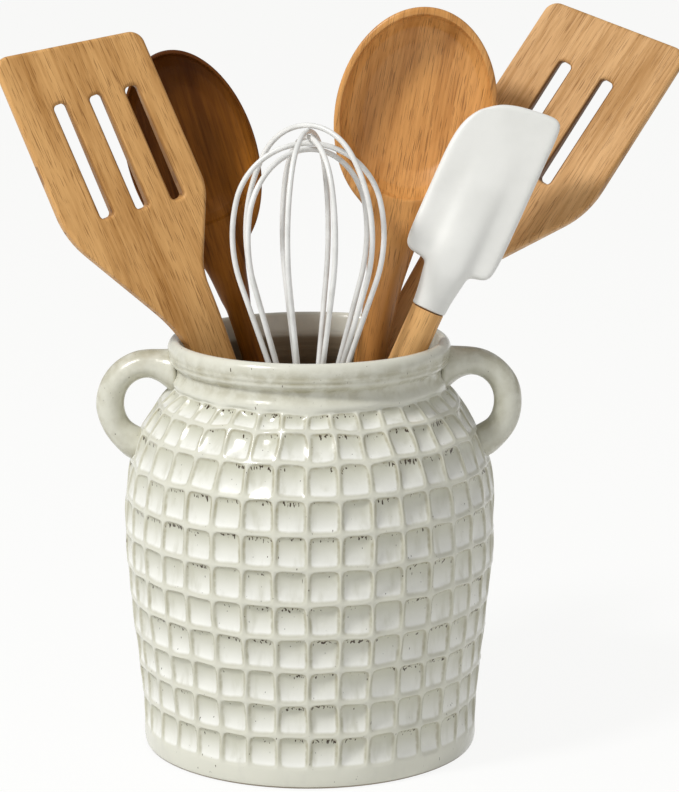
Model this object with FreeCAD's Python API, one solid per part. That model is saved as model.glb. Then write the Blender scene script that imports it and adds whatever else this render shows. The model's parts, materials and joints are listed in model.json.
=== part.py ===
import FreeCAD, Part
import math
import os

os.makedirs("parts", exist_ok=True)
Vector = FreeCAD.Vector
UP = Vector(0, 0, 1)

# Crock wall outside: each radius and height is a step from the one below it
BASE_RADIUS = 70.3
FOOT_ROUND = 3.5
BELLY_SWELL = 7.1
BELLY_RISE = 93.5
UPPER_BELLY_INSET = 1.0
UPPER_BELLY_RISE = 18.0
SHOULDER_INSET = 5.9
SHOULDER_RISE = 19.0
COLLAR_INSET = 13.9
COLLAR_RISE = 18.4
NECK_INSET = 1.2
NECK_RISE = 4.0
GROOVE_FLARE = 0.6
GROOVE_RISE = 5.2
RIM_ROLL = 2.7
RIM_RISE = 5.8
LIP_INSET = 1.4
LIP_RISE = 4.4
CREST_INSET = 1.7
CREST_RISE = 1.5

# Crock inside
WALL = 5.0
FLOOR = 7.0
FLOOR_ROUND = 8.0
NECK_WALL = 3.9
MOUTH_WALL = 3.5

# Waffle of square dimples pressed into the wall
DIMPLE_COLUMNS = 36
FULL_ROWS = 10
WAFFLE_START = 4.6
ROW_PITCH = 14.3
LAND_WIDTH = 3.0
DIMPLE_DEPTH = 1.2
DIMPLE_SLOPE = 2.2
DIMPLE_PROUD = 0.6

# Ear handles: an oval bar that leaves the neck and comes back to the shoulder
EAR_THICKNESS = 11.2
EAR_DEPTH = 13.0
EAR_TOP_RUN = 10.9
EAR_BEND = 16.7
EAR_DROP = 0.3
EAR_FOOT_RISE = 11.5

# Turners: flat beech with the blade set to one side of the handle. Each rise here and
# below is how far above the crock's mouth, along its own length, a handle ends or flares
TURNER_HANDLE_WIDTH = 15.0
TURNER_THICKNESS = 9.0
TURNER_TIP_THICKNESS = 4.2
TURNER_FOOT_ROUND = 6.0
TURNER_EDGE_ROUND = 1.6
BLADE_WIDTH = 63.4
BLADE_LENGTH = 73.0
BLADE_CORNER_ROUND = 6.0
BLADE_END_RISE = 9.5
OUTER_TAPER = 57.0
OUTER_SHOULDER_ROUND = 38.0
OUTER_NECK_ROUND = 70.0
INNER_TAPER = 31.0
INNER_SHOULDER_ROUND = 22.0
INNER_NECK_ROUND = 26.0
TURNER_BEND_BELOW_END = 116.0
TURNER_BEND_ROUND = 110.0
TURNER_BEND_ANGLE = 12.0
SLOT_WIDTH = 5.4
SLOT_LENGTH = 49.0
SLOT_FOOT_ABOVE_SHOULDER = 1.0
SLOT_STAGGER_SHARE = 0.7
THREE_SLOT_NECK_RISE = -16.4
THREE_SLOT_PITCH = 15.5
THREE_SLOT_OFFSET = 8.2
THREE_SLOT_ROW_OFFSET = 5.5
TWO_SLOT_NECK_RISE = 1.6
TWO_SLOT_PITCH = 19.5
TWO_SLOT_OFFSET = 11.5
TWO_SLOT_ROW_OFFSET = 10.7

# Light spoon: broad bowl on a handle that swells into it
LIGHT_BOWL_WIDTH = 65.0
LIGHT_BOWL_LENGTH = 91.0
LIGHT_BOWL_DEPTH = 18.0
LIGHT_DISH_DEPTH = 13.0
LIGHT_NECK_RISE = 6.4
LIGHT_FOOT_DIAMETER = 11.4
LIGHT_NECK_DIAMETER = 14.2
LIGHT_HEEL_LENGTH = 50.0
LIGHT_HEEL_DIAMETER = 19.0
LIGHT_HEEL_LAP = 9.0

# Dark spoon: a smaller bowl on a slim handle
DARK_BOWL_WIDTH = 53.0
DARK_BOWL_LENGTH = 93.0
DARK_BOWL_DEPTH = 15.0
DARK_DISH_DEPTH = 10.5
DARK_NECK_RISE = -0.2
DARK_FOOT_DIAMETER = 9.0
DARK_NECK_DIAMETER = 10.4
DARK_HEEL_LENGTH = 33.0
DARK_HEEL_DIAMETER = 14.5
DARK_HEEL_LAP = 5.0

# Both spoons: rounded foot, heel that runs into the bowl, thin rim round the dish
SPOON_FOOT_ROUND = 3.0
HEEL_DOME = 22.0
BOWL_BACK = 2.0
BOWL_RIM = 0.8
DISH_PROUD = 1.5

# Whisk: ten wire ends in a drilled plug at the top of a turned handle
WHISK_HEAD_DROP = 36.6
WHISK_FOOT_DIAMETER = 13.0
WHISK_FOOT_ROUND = 4.0
WHISK_HEAD_DIAMETER = 18.6
WHISK_HEAD_LENGTH = 24.0
PLUG_DIAMETER = 14.6
PLUG_LENGTH = 8.0
PLUG_FIT = 0.1
SOCKET_DEPTH = 22.0
WIRE_COUNT = 5
WIRE_DIAMETER = 2.2
WIRE_FIT = 0.1
WIRE_GAP = 0.2
WIRE_LEVELS = (3, 4, 1, 2, 0)
WIRE_RING_RADIUS = 5.1
WIRE_TAIL = 12.0
CAGE_LENGTH = 128.8
CAGE_RADIUS = 30.5
CAGE_CROWN = 44.0
CAGE_SIDE_BEND = 60.0
CAGE_NECK_BEND = 18.0
CAGE_SLOPE = 19.0

# Silicone spatula: a blade with a raised spine on a neck that takes a tenon
SPATULA_HANDLE_RISE = 15.4
SPATULA_HANDLE_DIAMETER = 13.6
SPATULA_FOOT_DIAMETER = 11.6
SPATULA_FOOT_ROUND = 4.0
TENON_DIAMETER = 7.6
TENON_LENGTH = 38.0
TENON_FIT = 0.15
HEAD_SEAT_GAP = 0.3
NECK_DIAMETER = 15.4
NECK_LENGTH = 26.0
HEAD_WIDTH = 41.0
HEAD_LENGTH = 74.0
HEAD_ROOT_THICKNESS = 9.0
HEAD_TIP_THICKNESS = 4.0
HEAD_BIG_ROUND = 21.0
HEAD_SMALL_ROUND = 4.5
HEAD_FOOT_ROUND = 8.0
HEAD_EDGE_ROUND = 1.5
HEAD_TOP_CROWN = 3.0
SPINE_LENGTH = 52.0
SPINE_TIP_DIAMETER = 5.0

# Where each utensil stands on the floor and passes the mouth, as shares of
# the floor's and the mouth's radius, and how far it is turned on its own axis
THREE_SLOT_FOOT_SHARES = (0.222, -0.127)
THREE_SLOT_MOUTH_SHARES = (-0.755, -0.184)
THREE_SLOT_TWIST = 24.0
TWO_SLOT_FOOT_SHARES = (-0.775, 0.340)
TWO_SLOT_MOUTH_SHARES = (0.716, 0.385)
TWO_SLOT_TWIST = -24.0
DARK_FOOT_SHARES = (0.305, 0.520)
DARK_MOUTH_SHARES = (-0.525, 0.632)
DARK_TWIST = 6.0
LIGHT_FOOT_SHARES = (-0.046, 0.050)
LIGHT_MOUTH_SHARES = (0.501, 0.150)
LIGHT_TWIST = 0.0
WHISK_FOOT_SHARES = (0.0, -0.673)
WHISK_MOUTH_SHARES = (0.0, -0.597)
WHISK_TWIST = 3.0
SPATULA_FOOT_SHARES = (-0.483, -0.398)
SPATULA_MOUTH_SHARES = (0.777, -0.294)
SPATULA_TWIST = 0.0
REST_GAP = 0.3
OVERRUN = 5.0


def tangent_arc(start, direction, end):
    """Arc in the XZ plane that leaves start along direction and ends at end."""
    side = Vector(direction.z, 0, -direction.x)
    chord = end.sub(start)
    radius = chord.dot(chord) / (2 * chord.dot(side))
    centre = start.add(Vector(side).multiply(radius))
    out = start.add(end).multiply(1 / 2).sub(centre).normalize()
    middle = centre.add(out.multiply(abs(radius)))
    return Part.Arc(start, middle, end).toShape()


def end_direction(edge):
    return edge.tangentAt(edge.LastParameter)


def arc_chain(start, direction, ends):
    """Tangent arcs through the given points, one after the other."""
    arcs = []
    for end in ends:
        arc = tangent_arc(start, direction, end)
        arcs.append(arc)
        direction = end_direction(arc)
        start = end
    return arcs


def rounded_outline(corners):
    """Closed wire of straight runs and tangent arcs: corners are (point, radius)."""
    edges = []
    last_end = None
    first_start = None
    count = len(corners)
    for index, (corner, radius) in enumerate(corners):
        back = corners[index - 1][0].sub(corner).normalize()
        on = corners[(index + 1) % count][0].sub(corner).normalize()
        half = back.getAngle(on) / 2
        reach = radius / math.tan(half)
        start = corner.add(Vector(back).multiply(reach))
        end = corner.add(Vector(on).multiply(reach))
        bisector = Vector(back).add(on).normalize()
        depth = radius / math.sin(half) - radius
        middle = corner.add(bisector.multiply(depth))
        if last_end is None:
            first_start = start
        else:
            edges.append(Part.LineSegment(last_end, start).toShape())
        edges.append(Part.Arc(start, middle, end).toShape())
        last_end = end
    edges.append(Part.LineSegment(last_end, first_start).toShape())
    return Part.Wire(edges)


def slab(wire, direction, depth):
    """Solid made by sweeping a flat outline to both sides of its plane."""
    face = Part.Face(wire)
    face.translate(Vector(direction).multiply(-depth / 2))
    return face.extrude(Vector(direction).multiply(depth))


def turned(edges):
    """Solid of revolution about Z from edges in the XZ plane that end on the axis."""
    first = edges[0].valueAt(edges[0].FirstParameter)
    last = edges[-1].valueAt(edges[-1].LastParameter)
    axis_line = Part.LineSegment(last, first).toShape()
    face = Part.Face(Part.Wire(edges + [axis_line]))
    return face.revolve(Vector(), UP, 360)


def line(start, end):
    return Part.LineSegment(start, end).toShape()


def ellipsoid(centre, across, deep, tall):
    """Ball with its poles along Y, stretched to the given half sizes."""
    ball = Part.makeSphere(tall)
    ball.rotate(Vector(), Vector(1, 0, 0), 90)
    stretch = FreeCAD.Matrix()
    stretch.scale(across / tall, deep / tall, 1)
    shape = ball.transformGeometry(stretch)
    shape.translate(centre)
    return shape


# Crock profile points, from the foot up
base_corner = Vector(BASE_RADIUS - FOOT_ROUND, 0, 0)
wall_foot = Vector(BASE_RADIUS, 0, FOOT_ROUND)
belly = wall_foot.add(Vector(BELLY_SWELL, 0, BELLY_RISE))
wall_middle = wall_foot.add(belly).multiply(1 / 2)
upper_belly = belly.add(Vector(-UPPER_BELLY_INSET, 0, UPPER_BELLY_RISE))
shoulder = upper_belly.add(Vector(-SHOULDER_INSET, 0, SHOULDER_RISE))
collar = shoulder.add(Vector(-COLLAR_INSET, 0, COLLAR_RISE))
neck = collar.add(Vector(-NECK_INSET, 0, NECK_RISE))
groove = neck.add(Vector(GROOVE_FLARE, 0, GROOVE_RISE))
rim = groove.add(Vector(RIM_ROLL, 0, RIM_RISE))
lip = rim.add(Vector(-LIP_INSET, 0, LIP_RISE))
crest = lip.add(Vector(-CREST_INSET, 0, CREST_RISE))
mouth = lip.add(Vector(-MOUTH_WALL, 0, 0))
neck_bore_top = Vector(neck.x - NECK_WALL, 0, groove.z)
neck_bore_foot = Vector(neck.x - NECK_WALL, 0, collar.z)
shoulder_inside = Vector(shoulder.x - WALL, 0, shoulder.z - WALL / 2)
belly_inside = Vector(belly.x - WALL, 0, belly.z)
floor_wall = Vector(BASE_RADIUS - WALL, 0, FLOOR + FLOOR_ROUND)
floor_edge = Vector(floor_wall.x - FLOOR_ROUND, 0, FLOOR)
wall_inside = belly_inside.add(floor_wall).multiply(1 / 2)

foot_arc = tangent_arc(base_corner, Vector(1, 0, 0), wall_foot)
waffle_wall = arc_chain(wall_foot, UP, [wall_middle, belly, upper_belly, shoulder, collar])
neck_arcs = arc_chain(collar, end_direction(waffle_wall[-1]), [neck, groove])
rim_arc = Part.Arc(groove, rim, lip).toShape()
lip_arc = Part.Arc(lip, crest, mouth).toShape()
outside = [line(Vector(), base_corner), foot_arc] + waffle_wall + neck_arcs + [rim_arc]


def filled_crock():
    """The crock's outer form with no hollow in it."""
    return turned(outside + [line(lip, Vector(0, 0, lip.z))])


def hollow_crock():
    """The crock's whole wall, floor and lip, still smooth outside."""
    down = Vector(0, 0, -1)
    throat = line(mouth, neck_bore_top)
    bore = line(neck_bore_top, neck_bore_foot)
    shoulder_arc = Part.Arc(neck_bore_foot, shoulder_inside, belly_inside).toShape()
    wall_arcs = arc_chain(belly_inside, down, [wall_inside, floor_wall])
    floor_arc = tangent_arc(floor_wall, down, floor_edge)
    floor_line = line(floor_edge, Vector(0, 0, FLOOR))
    inside = [throat, bore, shoulder_arc] + wall_arcs + [floor_arc, floor_line]
    return turned(outside + [lip_arc] + inside)


def wall_at(distance):
    """Point and direction on the waffled wall at a distance along it."""
    for edge in waffle_wall:
        if distance <= edge.Length:
            break
        distance -= edge.Length
    parameter = edge.getParameterByLength(min(distance, edge.Length))
    return edge.valueAt(parameter), edge.tangentAt(parameter)


def dimple_tool(start, height):
    """Wedge that presses one dimple, its middle a given way up the wall."""
    point, upward = wall_at(start + height / 2)
    outward = Vector(upward.z, 0, -upward.x)
    pitch = 2 * point.x * math.tan(math.pi / DIMPLE_COLUMNS)
    half_wide = (pitch - LAND_WIDTH) / 2
    half_tall = (height - LAND_WIDTH) / 2
    flare = DIMPLE_SLOPE / DIMPLE_DEPTH
    spread = flare * DIMPLE_PROUD
    wedge = Part.makeWedge(
        -half_wide + DIMPLE_SLOPE, -DIMPLE_DEPTH, -half_tall + DIMPLE_SLOPE,
        -half_tall - spread, -half_wide - spread,
        half_wide - DIMPLE_SLOPE, DIMPLE_PROUD, half_tall - DIMPLE_SLOPE,
        half_tall + spread, half_wide + spread)
    across = Vector(0, -1, 0)
    turn = FreeCAD.Rotation(across, outward, upward, "XYZ")
    wedge.Placement = FreeCAD.Placement(point, turn)
    return wedge


def waffle_tools():
    """All dimple wedges, row by row from the foot, then the short row under the neck."""
    wall_length = sum(edge.Length for edge in waffle_wall)
    starts = [WAFFLE_START + row * ROW_PITCH for row in range(FULL_ROWS)]
    rows = [(start, ROW_PITCH) for start in starts]
    last_start = WAFFLE_START + FULL_ROWS * ROW_PITCH
    rows.append((last_start, wall_length - last_start))
    tools = []
    for start, height in rows:
        first = dimple_tool(start, height)
        for column in range(DIMPLE_COLUMNS):
            tool = first.copy()
            turn = (column + 1 / 2) * 360 / DIMPLE_COLUMNS
            tool.rotate(Vector(), UP, turn)
            tools.append(tool)
    return tools


def ear_handle(body, side):
    """Oval bar from the neck to the shoulder, cut to sit on the crock's wall."""
    top = Vector(neck.x, 0, groove.z - EAR_DROP)
    foot = Vector(upper_belly.x, 0, upper_belly.z + EAR_FOOT_RISE)
    start = Vector(neck.x - NECK_WALL / 2, 0, top.z)
    run_end = Vector(neck.x + EAR_TOP_RUN, 0, top.z)
    bend_end = run_end.add(Vector(EAR_BEND, 0, -EAR_BEND))
    bend = tangent_arc(run_end, Vector(1, 0, 0), bend_end)
    drop = tangent_arc(bend_end, end_direction(bend), foot)
    sunk = foot.add(end_direction(drop).multiply(EAR_THICKNESS / 2))
    path = Part.Wire([line(start, run_end), bend, drop, line(foot, sunk)])
    oval = Part.Ellipse(Vector(), EAR_DEPTH / 2, EAR_THICKNESS / 2).toShape()
    turn = FreeCAD.Rotation(Vector(0, 1, 0), UP, Vector(1, 0, 0), "XYZ")
    section = Part.Wire([oval])
    section.Placement = FreeCAD.Placement(start, turn)
    bar = path.makePipeShell([section], True, False)
    bar = bar.cut(body)
    bar = max(bar.Solids, key=lambda solid: solid.Volume)
    if side < 0:
        bar.rotate(Vector(), UP, 180)
    return bar


def on_floor(shares):
    return Vector(shares[0] * floor_wall.x, shares[1] * floor_wall.x, FLOOR)


def through_mouth(shares):
    return Vector(shares[0] * mouth.x, shares[1] * mouth.x, mouth.z)


def reach(foot_shares, mouth_shares):
    """Length of a utensil from the crock's floor to the plane of its mouth."""
    return through_mouth(mouth_shares).sub(on_floor(foot_shares)).Length


light_handle_length = reach(LIGHT_FOOT_SHARES, LIGHT_MOUTH_SHARES) + LIGHT_NECK_RISE
dark_handle_length = reach(DARK_FOOT_SHARES, DARK_MOUTH_SHARES) + DARK_NECK_RISE
whisk_handle_length = reach(WHISK_FOOT_SHARES, WHISK_MOUTH_SHARES) - WHISK_HEAD_DROP
spatula_handle_length = reach(SPATULA_FOOT_SHARES, SPATULA_MOUTH_SHARES) + SPATULA_HANDLE_RISE
three_slot_straight = reach(THREE_SLOT_FOOT_SHARES, THREE_SLOT_MOUTH_SHARES) + THREE_SLOT_NECK_RISE
two_slot_straight = reach(TWO_SLOT_FOOT_SHARES, TWO_SLOT_MOUTH_SHARES) + TWO_SLOT_NECK_RISE


def turner(straight, side, offset, slot_count, slot_pitch, row_offset):
    """Upright turner with its foot at the origin; side is where the blade is set off to."""
    half_handle = TURNER_HANDLE_WIDTH / 2
    outer_edge = BLADE_WIDTH / 2 + offset
    inner_edge = BLADE_WIDTH / 2 - offset
    flare = math.atan2(outer_edge - half_handle, OUTER_TAPER)
    shoulder_height = straight + OUTER_NECK_ROUND * math.tan(flare / 2) + OUTER_TAPER
    length = shoulder_height + BLADE_LENGTH
    outer_end = length + BLADE_END_RISE / 2
    inner_end = length - BLADE_END_RISE / 2
    corners = [
        (Vector(-half_handle * side, 0, 0), TURNER_FOOT_ROUND),
        (Vector(half_handle * side, 0, 0), TURNER_FOOT_ROUND),
        (Vector(half_handle * side, 0, shoulder_height - OUTER_TAPER), OUTER_NECK_ROUND),
        (Vector(outer_edge * side, 0, shoulder_height), OUTER_SHOULDER_ROUND),
        (Vector(outer_edge * side, 0, outer_end), BLADE_CORNER_ROUND),
        (Vector(-inner_edge * side, 0, inner_end), BLADE_CORNER_ROUND),
        (Vector(-inner_edge * side, 0, shoulder_height), INNER_SHOULDER_ROUND),
        (Vector(-half_handle * side, 0, shoulder_height - INNER_TAPER), INNER_NECK_ROUND),
    ]
    front = slab(rounded_outline(corners), Vector(0, 1, 0), length)
    angle = math.radians(TURNER_BEND_ANGLE)
    bend_height = length - TURNER_BEND_BELOW_END
    bent_length = TURNER_BEND_BELOW_END + BLADE_WIDTH
    along = Vector(0, math.sin(angle), math.cos(angle))
    across = Vector(0, math.cos(angle), -math.sin(angle))
    tip = Vector(0, 0, bend_height).add(along.multiply(bent_length))
    tip_share = bent_length / TURNER_BEND_BELOW_END
    tip_thickness = TURNER_THICKNESS + (TURNER_TIP_THICKNESS - TURNER_THICKNESS) * tip_share
    half_tip = tip_thickness / 2
    half_thick = TURNER_THICKNESS / 2
    tip_round = half_tip / 2
    sides = [
        (Vector(0, -half_thick, -OVERRUN), tip_round),
        (Vector(0, -half_thick, bend_height), TURNER_BEND_ROUND),
        (tip.sub(Vector(across).multiply(half_tip)), tip_round),
        (tip.add(Vector(across).multiply(half_tip)), tip_round),
        (Vector(0, half_thick, bend_height), TURNER_BEND_ROUND),
        (Vector(0, half_thick, -OVERRUN), tip_round),
    ]
    profile = slab(rounded_outline(sides), Vector(1, 0, 0), 2 * BLADE_WIDTH)
    blank = front.common(profile).Solids[0]
    stagger = SLOT_STAGGER_SHARE * BLADE_END_RISE / BLADE_WIDTH
    for slot in range(slot_count):
        aside = (slot - (slot_count - 1) / 2) * slot_pitch
        place = row_offset * side + aside
        slot_foot = shoulder_height + SLOT_FOOT_ABOVE_SHOULDER + stagger * aside * side
        left = place - SLOT_WIDTH / 2
        right = place + SLOT_WIDTH / 2
        round_end = SLOT_WIDTH / 2 - TURNER_EDGE_ROUND / 2
        outline = [
            (Vector(left, 0, slot_foot), round_end),
            (Vector(right, 0, slot_foot), round_end),
            (Vector(right, 0, slot_foot + SLOT_LENGTH), round_end),
            (Vector(left, 0, slot_foot + SLOT_LENGTH), round_end),
        ]
        blank = blank.cut(slab(rounded_outline(outline), Vector(0, 1, 0), length)).Solids[0]
    return blank.makeFillet(TURNER_EDGE_ROUND, long_edges(blank)).Solids[0]


def long_edges(blank):
    """Edges where the cut outline meets the two broad faces."""
    chosen = []
    for edge in blank.Edges:
        faces = blank.ancestorsOfType(edge, Part.Face)
        broad = [abs(face.normalAt(*middle_of(face)).y) > 1 / 2 for face in faces]
        if broad.count(True) == 1:
            chosen.append(edge)
    return chosen


def middle_of(face):
    first_u, last_u, first_v, last_v = face.ParameterRange
    return (first_u + last_u) / 2, (first_v + last_v) / 2


def spoon(sizes):
    """Upright spoon with its foot at the origin and its bowl open towards -Y."""
    foot_radius = sizes["foot_diameter"] / 2
    heel_radius = sizes["heel_diameter"] / 2
    neck_height = sizes["handle_length"]
    heel_height = neck_height + sizes["heel_length"]
    foot_edge = Vector(foot_radius - SPOON_FOOT_ROUND, 0, 0)
    foot_side = Vector(foot_radius, 0, SPOON_FOOT_ROUND)
    neck_point = Vector(sizes["neck_diameter"] / 2, 0, neck_height)
    heel_point = Vector(heel_radius, 0, heel_height)
    dome_top = Vector(0, 0, heel_height + HEEL_DOME)
    dome_side = Vector(heel_radius, 0, HEEL_DOME).multiply(math.sqrt(1 / 2))
    foot_round = tangent_arc(foot_edge, Vector(1, 0, 0), foot_side)
    side = line(foot_side, neck_point)
    swell = tangent_arc(neck_point, end_direction(side), heel_point)
    dome = Part.Arc(heel_point, Vector(0, 0, heel_height).add(dome_side), dome_top).toShape()
    handle = turned([line(Vector(), foot_edge), foot_round, side, swell, dome])
    half_wide = sizes["bowl_width"] / 2
    half_long = sizes["bowl_length"] / 2
    half_deep = sizes["bowl_depth"] / 2
    middle = Vector(0, BOWL_BACK, heel_height - sizes["heel_lap"] + half_long)
    bowl = ellipsoid(middle, half_wide, half_deep, half_long)
    dish_middle = middle.sub(Vector(0, half_deep + DISH_PROUD, 0))
    dish_deep = sizes["dish_depth"] + DISH_PROUD
    dish = ellipsoid(dish_middle, half_wide - BOWL_RIM, dish_deep, half_long - BOWL_RIM)
    return handle.fuse(bowl).cut(dish).Solids[0]


def whisk_handle():
    """Turned grip that swells to a straight head, with a socket bored in its top."""
    foot_radius = WHISK_FOOT_DIAMETER / 2
    head_radius = WHISK_HEAD_DIAMETER / 2
    foot_edge = Vector(foot_radius - WHISK_FOOT_ROUND, 0, 0)
    foot_side = Vector(foot_radius, 0, WHISK_FOOT_ROUND)
    head_foot = Vector(head_radius, 0, whisk_handle_length - WHISK_HEAD_LENGTH)
    head_top = Vector(head_radius, 0, whisk_handle_length)
    foot_round = tangent_arc(foot_edge, Vector(1, 0, 0), foot_side)
    grip = tangent_arc(foot_side, UP, head_foot)
    top = line(head_top, Vector(0, 0, whisk_handle_length))
    bar = turned([line(Vector(), foot_edge), foot_round, grip, line(head_foot, head_top), top])
    bore = Part.makeCylinder(PLUG_DIAMETER / 2 + PLUG_FIT, SOCKET_DEPTH + OVERRUN)
    bore.translate(Vector(0, 0, whisk_handle_length - SOCKET_DEPTH))
    return bar.cut(bore).Solids[0]


def whisk_plug():
    """Round plug in the socket's mouth with a hole for each wire end."""
    foot = whisk_handle_length - PLUG_LENGTH
    plug = Part.makeCylinder(PLUG_DIAMETER / 2, PLUG_LENGTH, Vector(0, 0, foot))
    hole = Part.makeCylinder(WIRE_DIAMETER / 2 + WIRE_FIT, PLUG_LENGTH + 2 * OVERRUN)
    hole.translate(Vector(WIRE_RING_RADIUS, 0, foot - OVERRUN))
    holes = []
    for end in range(2 * WIRE_COUNT):
        drilled = hole.copy()
        drilled.rotate(Vector(), UP, end * 180 / WIRE_COUNT)
        holes.append(drilled)
    return plug.cut(holes).Solids[0]


def whisk_wire(number):
    """One loop of wire: straight tails, swelling sides and a round crown."""
    drop = WIRE_LEVELS[number] * (WIRE_DIAMETER + WIRE_GAP)
    crown = CAGE_CROWN - drop
    top = whisk_handle_length + CAGE_LENGTH - drop
    waist_height = top - crown
    slope = math.radians(CAGE_SLOPE)
    crown_bend = 2 * CAGE_RADIUS * CAGE_SIDE_BEND - CAGE_RADIUS ** 2 - crown ** 2
    crown_bend /= 2 * (CAGE_SIDE_BEND - crown)
    side_centre = Vector(CAGE_RADIUS - CAGE_SIDE_BEND, 0, waist_height)
    crown_centre = Vector(0, 0, top - crown_bend)
    toward = crown_centre.sub(side_centre).normalize()
    crown_start = side_centre.add(toward.multiply(CAGE_SIDE_BEND))
    low = Vector(math.cos(slope), 0, -math.sin(slope)).multiply(CAGE_SIDE_BEND)
    side_start = side_centre.add(low)
    down = Vector(-math.sin(slope), 0, -math.cos(slope))
    neck_run = CAGE_NECK_BEND * (1 - math.cos(slope))
    bend_x = WIRE_RING_RADIUS + neck_run
    reach = (side_start.x - bend_x) / math.sin(slope)
    bend_top = side_start.add(Vector(down).multiply(reach))
    bend_foot = Vector(WIRE_RING_RADIUS, 0, bend_top.z - CAGE_NECK_BEND * math.sin(slope))
    tail = Vector(WIRE_RING_RADIUS, 0, whisk_handle_length - PLUG_LENGTH - WIRE_TAIL)
    bend = tangent_arc(bend_foot, UP, bend_top)
    side = tangent_arc(side_start, Vector(down).multiply(-1), crown_start)
    crown_end = Vector(-crown_start.x, 0, crown_start.z)
    crown_arc = Part.Arc(crown_start, Vector(0, 0, top), crown_end).toShape()
    rising = [line(tail, bend_foot), bend, line(bend_top, side_start), side]
    falling = [edge.mirror(Vector(), Vector(1, 0, 0)) for edge in rising]
    path = Part.Wire(Part.sortEdges(rising + [crown_arc] + falling)[0])
    ring = Part.Wire([Part.Circle(tail, UP, WIRE_DIAMETER / 2).toShape()])
    loop = path.makePipeShell([ring], True, False)
    loop.rotate(Vector(), UP, number * 180 / WIRE_COUNT)
    return loop.Solids[0]


def spatula_handle():
    """Round handle, slimmer at the foot, with a tenon for the head."""
    foot_radius = SPATULA_FOOT_DIAMETER / 2
    top_radius = SPATULA_HANDLE_DIAMETER / 2
    foot_edge = Vector(foot_radius - SPATULA_FOOT_ROUND, 0, 0)
    foot_side = Vector(foot_radius, 0, SPATULA_FOOT_ROUND)
    top_side = Vector(top_radius, 0, spatula_handle_length)
    foot_round = tangent_arc(foot_edge, Vector(1, 0, 0), foot_side)
    top = line(top_side, Vector(0, 0, spatula_handle_length))
    bar = turned([line(Vector(), foot_edge), foot_round, line(foot_side, top_side), top])
    tenon = Part.makeCylinder(TENON_DIAMETER / 2, TENON_LENGTH + OVERRUN)
    tenon.translate(Vector(0, 0, spatula_handle_length - OVERRUN))
    return bar.fuse(tenon).removeSplitter().Solids[0]


def spatula_head():
    """Silicone blade with one large and one small top corner, spine and neck."""
    neck_foot = spatula_handle_length + HEAD_SEAT_GAP
    blade_foot = neck_foot + NECK_LENGTH - HEAD_FOOT_ROUND
    blade_top = blade_foot + HEAD_LENGTH
    half_wide = HEAD_WIDTH / 2
    corners = [
        (Vector(-half_wide, 0, blade_foot), HEAD_FOOT_ROUND),
        (Vector(half_wide, 0, blade_foot), HEAD_FOOT_ROUND),
        (Vector(half_wide, 0, blade_top), HEAD_SMALL_ROUND),
        (Vector(-half_wide, 0, blade_top - HEAD_TOP_CROWN), HEAD_BIG_ROUND),
    ]
    front = slab(rounded_outline(corners), Vector(0, 1, 0), HEAD_WIDTH)
    root = HEAD_ROOT_THICKNESS / 2
    tip = HEAD_TIP_THICKNESS / 2
    wedge_points = [
        Vector(0, -root, blade_foot), Vector(0, root, blade_foot),
        Vector(0, tip, blade_top), Vector(0, -tip, blade_top), Vector(0, -root, blade_foot)]
    profile = slab(Part.makePolygon(wedge_points), Vector(1, 0, 0), 2 * HEAD_WIDTH)
    blade = front.common(profile).Solids[0]
    blade = blade.makeFillet(HEAD_EDGE_ROUND, blade.Edges)
    neck_radius = NECK_DIAMETER / 2
    neck_bar = Part.makeCylinder(neck_radius, NECK_LENGTH, Vector(0, 0, neck_foot))
    spine_foot = neck_foot + NECK_LENGTH
    spine = Part.makeCone(neck_radius, SPINE_TIP_DIAMETER / 2, SPINE_LENGTH, Vector(0, 0, spine_foot))
    head = blade.fuse([neck_bar, spine])
    bore = Part.makeCylinder(TENON_DIAMETER / 2 + TENON_FIT, TENON_LENGTH + TENON_FIT + OVERRUN)
    bore.translate(Vector(0, 0, spatula_handle_length - OVERRUN))
    return head.cut(bore).Solids[0]


def stand(shapes, foot_shares, mouth_shares, twist):
    """Stand upright shapes in the crock: on the floor, leaning through the mouth."""
    foot = on_floor(foot_shares)
    lean = through_mouth(mouth_shares).sub(foot).normalize()
    turn = FreeCAD.Rotation(UP, lean).multiply(FreeCAD.Rotation(UP, twist))
    placed = []
    for shape in shapes:
        moved = shape.copy()
        moved.Placement = FreeCAD.Placement(foot, turn).multiply(moved.Placement)
        placed.append(moved)
    lowest = min(shape.optimalBoundingBox().ZMin for shape in placed)
    lift = Vector(lean).multiply((FLOOR + REST_GAP - lowest) / lean.z)
    for shape in placed:
        shape.translate(lift)
    return placed


parts = {}
outer_form = filled_crock()
parts["crock_body"] = hollow_crock().cut(waffle_tools())
parts["left_handle"] = ear_handle(outer_form, -1)
parts["right_handle"] = ear_handle(outer_form, 1)

three_slot = turner(three_slot_straight, -1, THREE_SLOT_OFFSET, 3, THREE_SLOT_PITCH, THREE_SLOT_ROW_OFFSET)
parts["three_slot_turner"] = stand(
    [three_slot], THREE_SLOT_FOOT_SHARES, THREE_SLOT_MOUTH_SHARES, THREE_SLOT_TWIST)[0]
two_slot = turner(two_slot_straight, 1, TWO_SLOT_OFFSET, 2, TWO_SLOT_PITCH, TWO_SLOT_ROW_OFFSET)
parts["two_slot_turner"] = stand(
    [two_slot], TWO_SLOT_FOOT_SHARES, TWO_SLOT_MOUTH_SHARES, TWO_SLOT_TWIST)[0]

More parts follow.
